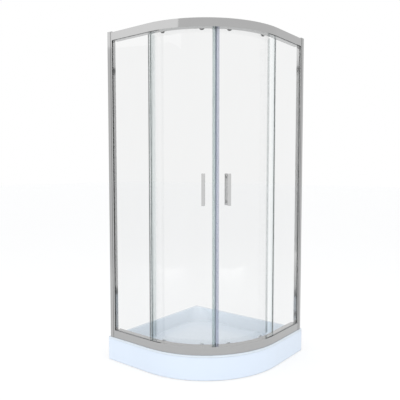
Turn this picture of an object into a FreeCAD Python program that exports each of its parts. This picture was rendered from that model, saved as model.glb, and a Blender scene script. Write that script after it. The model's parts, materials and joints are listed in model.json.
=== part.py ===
"""Quadrant shower enclosure: tray, two fixed panes, two curved sliding doors and their rails.

Frame: +Z up, origin on the floor under the middle of the tray. The room's corner is at -X +Y and
the rounded front looks towards +X -Y. Everything beside the rear-left to front-right diagonal is
drawn once, on the side that lies along -Y (called left), and mirrored in the plane x + y = 0.
Along the left side, "run" is the distance from the wall and "depth" the distance in from the
frame's outer face. Round the corner, pieces are drawn in a frame that is turned about the
corner's centre: there -Y points out through the glass and +X along it, towards the doors' meeting
line.
"""
import FreeCAD, Part
import math
import os
import Sketcher
from FreeCAD import Placement, Rotation, Vector

SIZES = [
    ("tray_side", 900, "tray along each wall"),
    ("corner_radius", 550, "plan radius of the tray's rounded corner"),
    ("tray_height", 150, "floor to the rim"),
    ("basin_depth", 70, "rim to the basin floor"),
    ("shell_wall", 5, "thickness of the moulded tray"),
    ("rim_front", 60, "rim width under the glazed front"),
    ("rim_wall", 18, "rim width along the walls"),
    ("rim_edge", 12, "depth of the rim's outer edge"),
    ("basin_corner", 62, "rear corner radius of the basin at the rim"),
    ("floor_corner", 150, "rear corner radius of the basin floor"),
    ("basin_side_corner", 40, "side corner radius of the basin at the rim"),
    ("floor_side_corner", 80, "side corner radius of the basin floor"),
    ("basin_slope", 55, "how far the basin's sides slope in"),
    ("front_slope", 26, "how far the basin's front slopes in"),
    ("apron_wall", 4, "thickness of the front panel"),
    ("apron_floor_gap", 3, "front panel to the floor"),
    ("screen_height", 1900, "height of the glazed frame"),
    ("frame_inset", 5, "frame in from the tray's edge"),
    ("wall_gap", 15, "tile and adhesive behind the wall profiles"),
    ("rail_height", 48, "rail section height"),
    ("rail_depth", 46, "rail section depth"),
    ("rail_wall", 1.6, "rail wall thickness"),
    ("pocket_width", 8.8, "width of the rail's glass pocket"),
    ("pocket_depth", 17, "depth of the rail's glass pocket"),
    ("track_lip", 4.6, "height of the lip that keeps the wheels in"),
    ("glass", 6, "glass thickness"),
    ("glass_entry", 12, "how far the fixed glass enters its pocket"),
    ("fixed_glass_lap", 22, "fixed glass past the start of the rounded corner"),
    ("profile_run", 25, "length of the wall profile's legs"),
    ("post_run", 52, "wall corner to the side post's inner face"),
    ("post_depth", 29.2, "depth of the side post"),
    ("profile_wall", 1.6, "wall profile thickness"),
    ("cap_height", 5, "thickness of the post caps"),
    ("wheel_radius", 12.5, "rolling radius of the door wheels"),
    ("wheel_width", 5, "tread width of the door wheels"),
    ("wheel_depth", 30, "frame face to the middle of the wheels"),
    ("axle_radius", 2.5, "wheel axle"),
    ("outer_wheel_angle", 7, "start of the arc to the outer wheels, degrees"),
    ("inner_wheel_angle", 35.5, "start of the arc to the inner wheels, degrees"),
    ("door_depth", 58, "frame face to the door glass"),
    ("door_edge_gap", 10, "door glass edges above the tray and below the top"),
    ("glass_hole", 10, "radius of the roller holes in the glass"),
    ("release_travel", 6, "how far a lower wheel is pressed down"),
    ("seal_half", 11.3, "meeting line to the door glass edge"),
    ("seal_fin", 18, "frame face to the tip of the door's edge seal"),
    ("handle_angle", 36.5, "start of the arc to the handles, degrees"),
    ("handle_length", 185, "handle height"),
    ("handle_width", 20, "handle bar width"),
    ("handle_thick", 6, "handle bar thickness"),
    ("handle_reach", 22, "glass to the back of the handle bar"),
    ("handle_pitch", 145, "between the two handle bolts"),
    ("waste_inset", 220, "tray's curved front edge to the waste"),
    ("waste_hole", 43, "radius of the hole in the tray"),
    ("cover_radius", 57, "waste cover radius"),
    ("board_thick", 16, "board under the basin floor"),
    ("board_inset", 85, "tray edge to the board"),
    ("bar_size", 25, "square tube of the support frame"),
    ("bar_near_inset", 80, "tray's left edge to the support bars"),
    ("bar_far_inset", 120, "tray's right edge to the long support bars"),
    ("rear_bar_inset", 165, "tray's rear edge to the rear support bar"),
    ("front_bar_inset", 155, "tray's front edge to the front support bar"),
    ("front_bar_angle", 25.7, "start of the arc to the front support bar's end, degrees"),
    ("stud_radius", 6, "levelling foot stud"),
    ("pad_radius", 22, "levelling foot pad"),
    ("pipe_radius", 20, "waste outlet pipe"),
    ("wall_screw_radius", 2.6, "wall fixing hole"),
    ("wall_hole_end", 100, "wall profile's ends to the outer fixing holes"),
    ("wall_hole_middle", 600, "between the two inner fixing holes"),
    ("door_stop_run", 176, "start of the rounded corner to the doors' stops"),
]

doc = FreeCAD.newDocument("quadrant_enclosure")
sheet = doc.addObject("Spreadsheet::Sheet", "sizes")


class Size:
    """A dimension with its value and the formula that ties it to the sheet."""

    def __init__(self, value, text):
        self.value = float(value)
        self.text = text

    def __add__(self, other):
        other = size(other)
        return Size(self.value + other.value, f"({self.text} + {other.text})")

    def __sub__(self, other):
        other = size(other)
        return Size(self.value - other.value, f"({self.text} - {other.text})")

    def __mul__(self, other):
        other = size(other)
        return Size(self.value * other.value, f"({self.text} * {other.text})")

    def __truediv__(self, other):
        other = size(other)
        return Size(self.value / other.value, f"({self.text} / {other.text})")

    def __neg__(self):
        return Size(-self.value, f"(0 - {self.text})")

    def __radd__(self, other):
        return size(other) + self

    def __rsub__(self, other):
        return size(other) - self

    def __rmul__(self, other):
        return size(other) * self


def size(value):
    if isinstance(value, Size):
        return value
    return Size(value, f"({float(value)!r})")


def sine(angle):
    return Size(math.sin(math.radians(angle.value)), f"sin({angle.text})")


def cosine(angle):
    return Size(math.cos(math.radians(angle.value)), f"cos({angle.text})")


def read_sizes():
    table = {}
    for row, (name, value, meaning) in enumerate(SIZES, start=1):
        sheet.set(f"A{row}", meaning)
        sheet.set(f"B{row}", str(value))
        sheet.setAlias(f"B{row}", name)
        table[name] = Size(value, f"sizes.{name}")
    return table


class Names:
    """Gives each sheet size as an attribute."""

    def __init__(self, table):
        self.__dict__.update(table)


d = Names(read_sizes())
doc.recompute()

# Places that follow from the driving sizes.
HALF = d.tray_side / 2
CENTRE_X = HALF - d.corner_radius
CENTRE_Y = d.corner_radius - HALF
FACE_RADIUS = d.corner_radius - d.frame_inset
RIM_Z = d.tray_height
TOP_Z = d.tray_height + d.screen_height
FLOOR_Z = d.tray_height - d.basin_depth
GLASS_OUT = FACE_RADIUS - d.door_depth
GLASS_IN = GLASS_OUT - d.glass
WHEEL_R = FACE_RADIUS - d.wheel_depth
AXLE_V = d.rail_height - d.rail_wall - d.wheel_radius - 0.1
DOOR_BOTTOM = RIM_Z + d.door_edge_gap
DOOR_TOP = TOP_Z - d.door_edge_gap
HANDLE_Z = RIM_Z + d.screen_height / 2
POCKET_IN = d.rail_wall + d.pocket_width
PANE_OUT = d.rail_wall + (d.pocket_width - d.glass) / 2
MEETING_ANGLE = size(45)
FIT = 0.2


def bulge(half_width, radius):
    """How far the glass curves in behind a flat piece of this half width."""
    return half_width * half_width / (2 * radius)


def at_run(run):
    return run - HALF


def at_depth(depth):
    return depth + d.frame_inset - HALF


# Drawing helpers -----------------------------------------------------------------------------
def draw_loop(sketch, loop):
    """Draws one closed loop; a corner with a third entry starts an arc (cx, cy, radius, ccw)."""
    ends = []
    for corner, following in zip(loop, loop[1:] + loop[:1]):
        start = Vector(corner[0].value, corner[1].value, 0)
        stop = Vector(following[0].value, following[1].value, 0)
        if len(corner) == 2:
            index = sketch.addGeometry(Part.LineSegment(start, stop), False)
            ends.append((index, 1, 2, None))
            continue
        centre_x, centre_y, radius, ccw = corner[2]
        centre = Vector(centre_x.value, centre_y.value, 0)
        first, last = (start, stop) if ccw else (stop, start)
        from_angle = math.atan2(first.y - centre.y, first.x - centre.x)
        to_angle = math.atan2(last.y - centre.y, last.x - centre.x)
        if to_angle <= from_angle:
            to_angle += 2 * math.pi
        circle = Part.Circle(centre, Vector(0, 0, 1), radius.value)
        index = sketch.addGeometry(Part.ArcOfCircle(circle, from_angle, to_angle), False)
        ends.append((index, 1, 2, radius) if ccw else (index, 2, 1, radius))
    bound = []
    for number, (index, start_pos, stop_pos, radius) in enumerate(ends):
        after = ends[(number + 1) % len(ends)]
        sketch.addConstraint(Sketcher.Constraint("Coincident", index, stop_pos, after[0], after[1]))
        for kind, place in (("DistanceX", loop[number][0]), ("DistanceY", loop[number][1])):
            rule = Sketcher.Constraint(kind, -1, 1, index, start_pos, place.value)
            bound.append((sketch.addConstraint(rule), place))
        if radius is not None:
            rule = Sketcher.Constraint("Radius", index, radius.value)
            bound.append((sketch.addConstraint(rule), radius))
    for number, place in bound:
        sketch.setExpression(f"Constraints[{number}]", place.text)


def draw_circle(sketch, x, y, radius):
    circle = Part.Circle(Vector(x.value, y.value, 0), Vector(0, 0, 1), radius.value)
    index = sketch.addGeometry(circle, False)
    rules = [
        (Sketcher.Constraint("DistanceX", -1, 1, index, 3, x.value), x),
        (Sketcher.Constraint("DistanceY", -1, 1, index, 3, y.value), y),
        (Sketcher.Constraint("Radius", index, radius.value), radius),
    ]
    for rule, place in rules:
        number = sketch.addConstraint(rule)
        sketch.setExpression(f"Constraints[{number}]", place.text)


def new_body(label):
    body = doc.addObject("PartDesign::Body", label)
    body.Label = label
    return body


def new_sketch(body, plane, loops, lift=None, circles=()):
    """A sketch on one of the body's own origin planes, lifted along that plane's normal."""
    sketch = body.newObject("Sketcher::SketchObject", body.Name + "_sketch")
    support = [f for f in body.Origin.OriginFeatures if f.Role == plane][0]
    sketch.AttachmentSupport = [(support, "")]
    sketch.MapMode = "FlatFace"
    if lift is not None:
        sketch.AttachmentOffset = Placement(Vector(0, 0, lift.value), Rotation())
        sketch.setExpression("AttachmentOffset.Base.z", lift.text)
    for loop in loops:
        draw_loop(sketch, loop)
    for circle in circles:
        draw_circle(sketch, *circle)
    sketch.Visibility = False
    return sketch


def pad(body, loops, low, high, circles=()):
    sketch = new_sketch(body, "XY_Plane", loops, low, circles)
    feature = body.newObject("PartDesign::Pad", body.Name + "_pad")
    feature.Profile = sketch
    feature.setExpression("Length", (high - low).text)
    return feature


def pocket(body, loops, low, high, circles=()):
    """Cuts upwards from low to high."""
    sketch = new_sketch(body, "XY_Plane", loops, low, circles)
    feature = body.newObject("PartDesign::Pocket", body.Name + "_pocket")
    feature.Profile = sketch
    feature.Reversed = True
    feature.setExpression("Length", (high - low).text)
    return feature


def turned(label, loop, plane="XY_Plane"):
    """A body of revolution about the sketch's vertical axis."""
    body = new_body(label)
    sketch = new_sketch(body, plane, [loop])
    feature = body.newObject("PartDesign::Revolution", body.Name + "_turn")
    feature.Profile = sketch
    feature.ReferenceAxis = (sketch, ["V_Axis"])
    feature.Angle = 360
    return body


def stepped(steps):
    """Half section of a turned piece about x = 0: (radius, start, end) steps along -y."""
    corners = [(size(0), -steps[0][1])]
    for radius, start, end in steps:
        corners.append((radius, -start))
        corners.append((radius, -end))
    corners.append((size(0), -steps[-1][2]))
    return corners


def rising(steps):
    """Half section about x = 0 of a piece turned about a vertical axis, bottom first."""
    corners = [(size(0), steps[0][1])]
    for radius, start, end in steps:
        corners.append((radius, start))
        corners.append((radius, end))
    corners.append((size(0), steps[-1][2]))
    return corners


def rectangle(x0, x1, y0, y1):
    x0, x1, y0, y1 = size(x0), size(x1), size(y0), size(y1)
    return [(x0, y0), (x1, y0), (x1, y1), (x0, y1)]


def place(item, x=None, y=None, z=None, turn=None):
    """Puts an object at a place that follows the sheet, turned about the vertical."""
    base = [size(0) if part is None else size(part) for part in (x, y, z)]
    angle = size(0) if turn is None else turn
    item.Placement = Placement(Vector(*[part.value for part in base]),
                               Rotation(Vector(0, 0, 1), angle.value))
    for axis, part in zip("xyz", base):
        item.setExpression(f"Placement.Base.{axis}", part.text)
    if turn is not None:
        item.setExpression("Placement.Rotation.Angle", turn.text)
    return item


def on_arc(item, turn, z=None):
    return place(item, CENTRE_X, CENTRE_Y, z, turn)


def joined(kind, label, **links):
    item = doc.addObject(kind, label)
    item.Label = label
    for name, value in links.items():
        setattr(item, name, value)
    return item


def group(label, items):
    return joined("Part::Compound", label, Links=items)


def cut(label, base, tools):
    tool = tools[0] if len(tools) == 1 else group(label + "_tools", tools)
    return joined("Part::Cut", label, Base=base, Tool=tool)


def mirrored(label, source):
    return joined("Part::Mirroring", label, Source=source, Base=Vector(0, 0, 0),
                  Normal=Vector(1, 1, 0))


def both_sides(label, item):
    """One node with the piece and its mirror image."""
    return group(label, [item, mirrored(label + "_mirror", item)])


def box(label, x0, x1, y0, y1, z0, z1):
    item = doc.addObject("Part::Box", label)
    item.Label = label
    x0, x1, y0, y1, z0, z1 = [size(part) for part in (x0, x1, y0, y1, z0, z1)]
    item.setExpression("Length", (x1 - x0).text)
    item.setExpression("Width", (y1 - y0).text)
    item.setExpression("Height", (z1 - z0).text)
    return place(item, x0, y0, z0)


def rod(label, radius, length, x, y, z, axis):
    """A cylinder from (x, y, z) along axis."""
    item = doc.addObject("Part::Cylinder", label)
    item.Label = label
    radius, length = size(radius), size(length)
    item.setExpression("Radius", radius.text)
    item.setExpression("Height", length.text)
    base = [size(part) for part in (x, y, z)]
    item.Placement = Placement(Vector(*[part.value for part in base]),
                               Rotation(Vector(0, 0, 1), Vector(*axis)))
    for name, part in zip("xyz", base):
        item.setExpression(f"Placement.Base.{name}", part.text)
    return item


def front_band(outer, inner, run):
    """Plan of a strip that follows the front: straight, round the corner, straight."""
    out_r = FACE_RADIUS - outer
    in_r = FACE_RADIUS - inner
    start = at_run(run)
    far = -start
    return [
        (start, CENTRE_Y - out_r),
        (CENTRE_X, CENTRE_Y - out_r, (CENTRE_X, CENTRE_Y, out_r, True)),
        (CENTRE_X + out_r, CENTRE_Y),
        (CENTRE_X + out_r, far),
        (CENTRE_X + in_r, far),
        (CENTRE_X + in_r, CENTRE_Y, (CENTRE_X, CENTRE_Y, in_r, False)),
        (CENTRE_X, CENTRE_Y - in_r),
        (start, CENTRE_Y - in_r),
    ]


def arc_band(outer, inner, from_angle, to_angle):
    """Strip round the corner's centre, in the frame turned about it."""
    corners = []
    for radius, first, last, ccw in ((outer, from_angle, to_angle, True),
                                     (inner, to_angle, from_angle, False)):
        arc = (size(0), size(0), radius, ccw)
        corners.append((radius * sine(first), -(radius * cosine(first)), arc))
        corners.append((radius * sine(last), -(radius * cosine(last))))
    return corners


def tray_plan(inset):
    """Quadrant outline, inset from the tray's edge all round, with square rear corners."""
    low = inset - HALF
    radius = d.corner_radius - inset
    return [
        (low, low),
        (CENTRE_X, low, (CENTRE_X, CENTRE_Y, radius, True)),
        (CENTRE_X + radius, CENTRE_Y),
        (-low, -low),
        (low, -low),
    ]


def basin_plan(front, wall, rear_radius, side_radius):
    """Quadrant outline with rounded corners, in by front on the glazed sides, by wall at the walls."""
    radius = d.corner_radius - front
    low = front - HALF
    rear = wall - HALF
    return [
        (rear + side_radius, low),
        (CENTRE_X, low, (CENTRE_X, CENTRE_Y, radius, True)),
        (CENTRE_X + radius, CENTRE_Y),
        (-low, -(rear + side_radius), (-low - side_radius, -rear - side_radius, side_radius, True)),
        (-low - side_radius, -rear),
        (rear + rear_radius, -rear, (rear + rear_radius, -rear - rear_radius, rear_radius, True)),
        (rear, -rear - rear_radius),
        (rear, low + side_radius, (rear + side_radius, low + side_radius, side_radius, True)),
    ]


# Tray ------------------------------------------------------------------------------------------
WASTE_OFFSET = (d.corner_radius - d.waste_inset) / math.sqrt(2)
WASTE_X = CENTRE_X + WASTE_OFFSET
WASTE_Y = CENTRE_Y - WASTE_OFFSET


def basin_section(body, front, wall, rear_radius, side_radius, z):
    return new_sketch(body, "XY_Plane", [basin_plan(front, wall, rear_radius, side_radius)], z)


def loft(body, kind, upper, lower):
    feature = body.newObject(kind, body.Name + "_loft")
    feature.Profile = upper
    feature.Sections = [lower]
    feature.Ruled = True
    return feature


def tray_shell():
    """Moulded shell: rim with a turned-down edge, sloping sides and a flat basin floor."""
    body = new_body("tray_shell")
    wall = d.shell_wall
    pad(body, [tray_plan(size(0))], RIM_Z - d.rim_edge, RIM_Z)
    pocket(body, [tray_plan(wall)], RIM_Z - d.rim_edge, RIM_Z - wall)
    out_top = basin_section(body, d.rim_front - wall, d.rim_wall - wall, d.basin_corner + wall,
                            d.basin_side_corner + wall, RIM_Z - wall)
    out_floor = basin_section(body, d.rim_front + d.front_slope - wall,
                              d.rim_wall + d.basin_slope - wall, d.floor_corner + wall,
                              d.floor_side_corner + wall, FLOOR_Z - wall)
    loft(body, "PartDesign::AdditiveLoft", out_top, out_floor)
    in_top = basin_section(body, d.rim_front, d.rim_wall, d.basin_corner, d.basin_side_corner,
                           RIM_Z)
    in_floor = basin_section(body, d.rim_front + d.front_slope, d.rim_wall + d.basin_slope,
                             d.floor_corner, d.floor_side_corner, FLOOR_Z)
    loft(body, "PartDesign::SubtractiveLoft", in_top, in_floor)
    pocket(body, [], FLOOR_Z - 2 * wall, FLOOR_Z + wall, [(WASTE_X, WASTE_Y, d.waste_hole)])
    return body


APRON_GAP = 0.5  # under the rim's turned-down edge


def tray_apron():
    """Lift-off front panel under the rim's edge."""
    body = new_body("tray_apron")
    outer = -d.frame_inset
    band = front_band(outer, outer + d.apron_wall, size(0))
    pad(body, [band], d.apron_floor_gap, RIM_Z - d.rim_edge - APRON_GAP)
    return body


BOARD_TOP = FLOOR_Z - d.shell_wall
BOARD_LOW = BOARD_TOP - d.board_thick
BAR_LOW = BOARD_LOW - d.bar_size
BAR_START = d.bar_near_inset - HALF
REAR_BAR_Y = HALF - d.rear_bar_inset
FRONT_BAR_Y = d.front_bar_inset - HALF
FRONT_BAR_LEAN = sine(d.front_bar_angle) / cosine(d.front_bar_angle)
BARS = [  # place across the tray, far end
    (REAR_BAR_Y, HALF - d.bar_far_inset),
    ((REAR_BAR_Y + FRONT_BAR_Y) / 2, HALF - d.bar_far_inset),
    (FRONT_BAR_Y, CENTRE_X + (CENTRE_Y - FRONT_BAR_Y) * FRONT_BAR_LEAN),
]
BAR_WALL = 1.5
FOOT_INSET = 45  # bar end to the foot's stud
BOARD_REAR_RADIUS = size(120)
BOARD_SIDE_RADIUS = size(60)
BOARD_HOLE_GAP = 5  # round the waste cover's outline
PAST = 1  # how far a cutting tool runs past the face it cuts


def base_board():
    body = new_body("base_board")
    pad(body, [basin_plan(d.board_inset, d.board_inset, BOARD_REAR_RADIUS, BOARD_SIDE_RADIUS)],
        BOARD_LOW, BOARD_TOP)
    pocket(body, [], BOARD_LOW, BOARD_TOP,
           [(WASTE_X, WASTE_Y, d.cover_radius + BOARD_HOLE_GAP)])
    return body


def foot_places():
    for y, end in BARS:
        yield BAR_START + FOOT_INSET, y
        yield end - FOOT_INSET, y


def support_bars():
    """Square tubes under the board, bored for the feet."""
    items = []
    half = d.bar_size / 2
    inner = half - BAR_WALL
    middle = BAR_LOW + half
    for number, (y, end) in enumerate(BARS):
        outside = box(f"bar_{number}", BAR_START, end, y - half, y + half, BAR_LOW, BOARD_LOW)
        inside = box(f"bar_bore_{number}", BAR_START - PAST, end + PAST, y - inner, y + inner,
                     middle - inner, middle + inner)
        holes = [rod(f"foot_hole_{number}_{side}", d.stud_radius + FIT, d.bar_size, x, y,
                     BAR_LOW - PAST, (0, 0, 1))
                 for side, x in enumerate((BAR_START + FOOT_INSET, end - FOOT_INSET))]
        items.append(cut(f"tube_{number}", outside, [inside] + holes))
    return group("support_bars", items)


THREAD_FIT = 0.05  # radial
PAD_HIGH = size(10)
PAD_EDGE = size(3)
PAD_NECK = 4  # wall round the stud at the pad's top
STUD_SEAT = size(4)
STUD_END_GAP = 4  # stud's top to the board
NUT_HIGH = 10
NUT_RATIO = 1.6  # lock nut's radius to the stud's


def feet():
    """Threaded studs in swivel pads, each locked under its bar by a nut."""
    studs = []
    pads = []
    nuts = []
    bore = d.stud_radius + THREAD_FIT
    outside = d.stud_radius * NUT_RATIO
    for number, (x, y) in enumerate(foot_places()):
        stud = turned(f"stud_{number}", rising([
            (d.stud_radius, STUD_SEAT, BOARD_LOW - STUD_END_GAP),
        ]), "XZ_Plane")
        studs.append(place(stud, x, y))
        pad_section = [
            (size(0), size(0)), (d.pad_radius, size(0)), (d.pad_radius, PAD_EDGE),
            (d.stud_radius + PAD_NECK, PAD_HIGH), (bore, PAD_HIGH), (bore, STUD_SEAT),
            (size(0), STUD_SEAT),
        ]
        pads.append(place(turned(f"pad_{number}", pad_section, "XZ_Plane"), x, y))
        nut = turned(f"nut_{number}", [
            (bore, BAR_LOW - NUT_HIGH), (outside, BAR_LOW - NUT_HIGH), (outside, BAR_LOW),
            (bore, BAR_LOW),
        ], "XZ_Plane")
        nuts.append(place(nut, x, y))
    return [group("foot_studs", studs), group("foot_pads", pads), group("foot_lock_nuts", nuts)]


BRACKET_ANGLES = (8, 32, 58, 82)
BRACKET_HALF = 15
BRACKET_THICK = 2
BRACKET_GAP = 3  # panel to the bent-down leg, which the magnet bridges
BRACKET_UNDER = 25  # how far the strip runs in under the board
LEG_LONG = 29
MAGNET_HALF = 10
MAGNET_LOW = 19  # magnet's lower end under the board's underside
MAGNET_HIGH = 1
MAGNET_GAP = 0.3


def apron_brackets():
    """Bent strips from the board to the front panel's inner face, with a magnet on each."""
    face = d.corner_radius - d.apron_wall
    leg = face - BRACKET_GAP
    inner = d.corner_radius - d.board_inset - BRACKET_UNDER
    items = []
    for number, angle in enumerate(BRACKET_ANGLES):
        strip = new_body(f"bracket_{number}")
        pad(strip, [rectangle(-BRACKET_HALF, BRACKET_HALF, -leg, -inner)],
            BOARD_LOW - BRACKET_THICK, BOARD_LOW)
        pad(strip, [rectangle(-BRACKET_HALF, BRACKET_HALF, -leg, -(leg - BRACKET_THICK))],
            BOARD_LOW - LEG_LONG, BOARD_LOW)
        pad(strip, [rectangle(-MAGNET_HALF, MAGNET_HALF, -(face - MAGNET_GAP), -leg)],
            BOARD_LOW - MAGNET_LOW, BOARD_LOW + MAGNET_HIGH)
        items.append(on_arc(strip, size(angle)))
    return group("apron_brackets", items)


FLANGE_LIP = 13  # over the hole's edge
FLANGE_WALL = 4
FLANGE_DROP = 20  # basin floor to the ledge inside
FLANGE_THICK = 2
COVER_GAP = 6  # water's way in under the cover
COVER_RISE = 5.5
COVER_EDGE = 1
COVER_SLOPE = 8
WINDOW_HALF = size(14)
WINDOW_SILL = 2.5
CUP_LIP = 3
CUP_WALL = 2
CUP_GAP = 0.3
CUP_LIFT = 12  # cup's lower end above the trap's floor
TRAP_LOW = size(8)
TRAP_WALL = 3
TRAP_LIP = 6
TRAP_OVER = 11  # trap's collar over the hole's edge
SPIGOT_LONG = size(75)
SPIGOT_FREE = 60  # length that a waste pipe's socket can cover, up to the stop collar
COLLAR_OVER = 3.5
SPIGOT_WALL = 2.5
SPIGOT_RISE = 4


def waste_parts():
    """Flange, cover, gasket-seated trap body with its outlet spigot, and the lift-out cup."""
    flange_r = d.waste_hole + FLANGE_LIP
    tube_r = d.waste_hole - 1
    bore_r = tube_r - FLANGE_WALL
    ledge_r = bore_r - FLANGE_WALL
    ledge_low = FLOOR_Z - FLANGE_DROP
    ledge_z = ledge_low + FLANGE_THICK
    flange_top = FLOOR_Z + FLANGE_THICK
    flange = turned("waste_flange", [
        (ledge_r, ledge_low), (tube_r, ledge_low), (tube_r, FLOOR_Z),
        (flange_r, FLOOR_Z), (flange_r, FLOOR_Z + 1), (flange_r - 3, flange_top),
        (bore_r, flange_top), (bore_r, ledge_z), (ledge_r, ledge_z),
    ], "XZ_Plane")
    lip_top = ledge_z + CUP_LIP
    cover_low = FLOOR_Z + COVER_GAP
    ring_r = bore_r - CUP_GAP - 0.1
    dome = turned("cover_dome", [
        (size(0), cover_low), (ledge_r, cover_low), (ledge_r, lip_top), (ring_r, lip_top),
        (ring_r, cover_low), (d.cover_radius - COVER_EDGE, cover_low),
        (d.cover_radius, cover_low + COVER_EDGE), (d.cover_radius - COVER_SLOPE, cover_low + 4),
        (size(0), cover_low + COVER_RISE),
    ], "XZ_Plane")
    windows = [box(f"cover_window_{number}", -x, x, -y, y, FLOOR_Z + WINDOW_SILL, cover_low)
               for number, (x, y) in enumerate(((WINDOW_HALF, bore_r), (bore_r, WINDOW_HALF)))]
    cover = cut("waste_cover", dome, windows)
    collar_r = d.waste_hole + TRAP_OVER
    side_r = collar_r - 4
    inside_r = side_r - TRAP_WALL
    floor_z = TRAP_LOW + TRAP_WALL
    collar_low = BOARD_TOP - TRAP_LIP
    seat_r = tube_r + CUP_GAP
    shell = turned("trap_shell", [
        (size(0), TRAP_LOW), (side_r, TRAP_LOW), (side_r, collar_low),
        (collar_r + 3, collar_low), (collar_r + 3, BOARD_TOP), (seat_r, BOARD_TOP),
        (seat_r, collar_low), (inside_r, collar_low), (inside_r, floor_z), (size(0), floor_z),
    ], "XZ_Plane")
    pipe_z = TRAP_LOW + d.pipe_radius + SPIGOT_RISE
    pipe_start = 10 - collar_r
    pipe = rod("trap_pipe", d.pipe_radius, SPIGOT_LONG, pipe_start, 0, pipe_z, (-1, 0, 0))
    bore = rod("trap_pipe_bore", d.pipe_radius - SPIGOT_WALL, SPIGOT_LONG + 15, pipe_start + 6, 0,
               pipe_z, (-1, 0, 0))
    inside = rod("trap_inside", inside_r, collar_low - floor_z, 0, 0, floor_z, (0, 0, 1))
    stop = rod("trap_stop", d.pipe_radius + COLLAR_OVER, SPIGOT_LONG - SPIGOT_FREE, pipe_start, 0,
               pipe_z, (-1, 0, 0))
    collared = joined("Part::Fuse", "trap_collared", Base=pipe, Tool=stop)
    spigot = cut("trap_spigot", collared, [inside])
    whole = joined("Part::Fuse", "trap_whole", Base=shell, Tool=spigot)
    trap = cut("trap_body", whole, [bore])
    cup_r = ledge_r - CUP_GAP
    cup_low = TRAP_LOW + CUP_LIFT
    cup = turned("trap_cup", [
        (cup_r - CUP_WALL, cup_low), (cup_r, cup_low), (cup_r, ledge_z),
        (bore_r - CUP_GAP, ledge_z), (bore_r - CUP_GAP, lip_top), (cup_r - CUP_WALL, lip_top),
    ], "XZ_Plane")
    for item in (flange, cover, trap, cup):
        place(item, WASTE_X, WASTE_Y)
    return [flange, cover, trap, cup]


# Fixed frame -----------------------------------------------------------------------------------
def rail(label, closed_z, upward):
    """Aluminium section: glass pocket outside, wheel channel inside, open towards the cabin."""
    body = new_body(label)
    wall = d.rail_wall
    tall = d.rail_height
    start = d.post_run
    full = size(0)
    strips = [  # outer depth, inner depth, low, high measured from the closed face
        (full, d.rail_depth, full, wall),
        (full, wall, full, tall),
        (full, POCKET_IN + wall, tall - d.pocket_depth - wall, tall - d.pocket_depth),
        (POCKET_IN, POCKET_IN + wall, tall - d.pocket_depth - wall, tall),
        (POCKET_IN, d.rail_depth, tall - wall, tall),
        (d.rail_depth - wall, d.rail_depth, tall - wall - d.track_lip, tall),
        (d.rail_depth - wall, d.rail_depth, full, wall + d.track_lip),
    ]
    for outer, inner, low, high in strips:
        if upward:
            pad(body, [front_band(outer, inner, start)], closed_z + low, closed_z + high)
        else:
            pad(body, [front_band(outer, inner, start)], closed_z - high, closed_z - low)
    return body


SNUG = 0.1  # round a piece that is pushed into its place
INFILL_START = size(9)  # degrees from the arc's start


def pocket_infills():
    """Strips that close the rails' glass pockets across the door opening."""
    items = []
    for name, low in (("lower", RIM_Z + d.rail_height - d.pocket_depth + SNUG),
                      ("upper", TOP_Z - d.rail_height + SNUG)):
        body = new_body(f"infill_{name}")
        band = arc_band(FACE_RADIUS - d.rail_wall - SNUG, FACE_RADIUS - POCKET_IN + SNUG,
                        INFILL_START, 90 - INFILL_START)
        pad(body, [band], low, low + d.pocket_depth - 2 * SNUG)
        items.append(on_arc(body, size(0)))
    return group("pocket_infills", items)


PROFILE_OUT = size(-2)
SLIDE_GAP = 0.3  # each side of the post in its wall profile
PROFILE_IN = PROFILE_OUT + 2 * d.profile_wall + d.post_depth + 2 * SLIDE_GAP
POST_OUT = PROFILE_OUT + d.profile_wall + SLIDE_GAP
POST_IN = POST_OUT + d.post_depth
MIDDLE_Z = RIM_Z + d.screen_height / 2
WALL_HOLES = [
    RIM_Z + d.wall_hole_end,
    MIDDLE_Z - d.wall_hole_middle / 2,
    MIDDLE_Z + d.wall_hole_middle / 2,
    TOP_Z - d.wall_hole_end,
]


def side_loop(*corners):
    """Plan outline on the left side from (run, depth) corners."""
    return [(at_run(size(run)), at_depth(size(depth))) for run, depth in corners]


def side_box(run0, run1, depth0, depth1):
    return side_loop((run0, depth0), (run1, depth0), (run1, depth1), (run0, depth1))


def wall_profile():
    """U channel screwed to the wall."""
    body = new_body("wall_channel")
    wall = d.profile_wall
    back = d.wall_gap
    front = back + d.profile_run
    pad(body, [side_loop((back, PROFILE_OUT), (front, PROFILE_OUT), (front, PROFILE_OUT + wall),
                         (back + wall, PROFILE_OUT + wall), (back + wall, PROFILE_IN - wall),
                         (front, PROFILE_IN - wall), (front, PROFILE_IN), (back, PROFILE_IN))],
        RIM_Z, TOP_Z)
    middle = at_depth((PROFILE_OUT + PROFILE_IN) / 2)
    holes = [rod(f"wall_hole_{number}", d.wall_screw_radius, wall + 2 * PAST, at_run(back) - PAST,
                 middle, z, (1, 0, 0))
             for number, z in enumerate(WALL_HOLES)]
    return cut("wall_profile_left", body, holes)


POST_BACK = d.wall_gap + 8
GROOVE_RUN = d.post_run - 11
SCREW_V = (14, 30)  # from the rail's closed face
SCREW_RADIUS = 2
POST_WALL = 1.5
CAP_OVER = 0.5  # cap past the post's inner face
CAP_PLUG = 8
SCREW_DEPTH = (POCKET_IN + POST_IN) / 2


def screw_heights():
    for v in SCREW_V:
        yield RIM_Z + v
        yield TOP_Z - v


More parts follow.
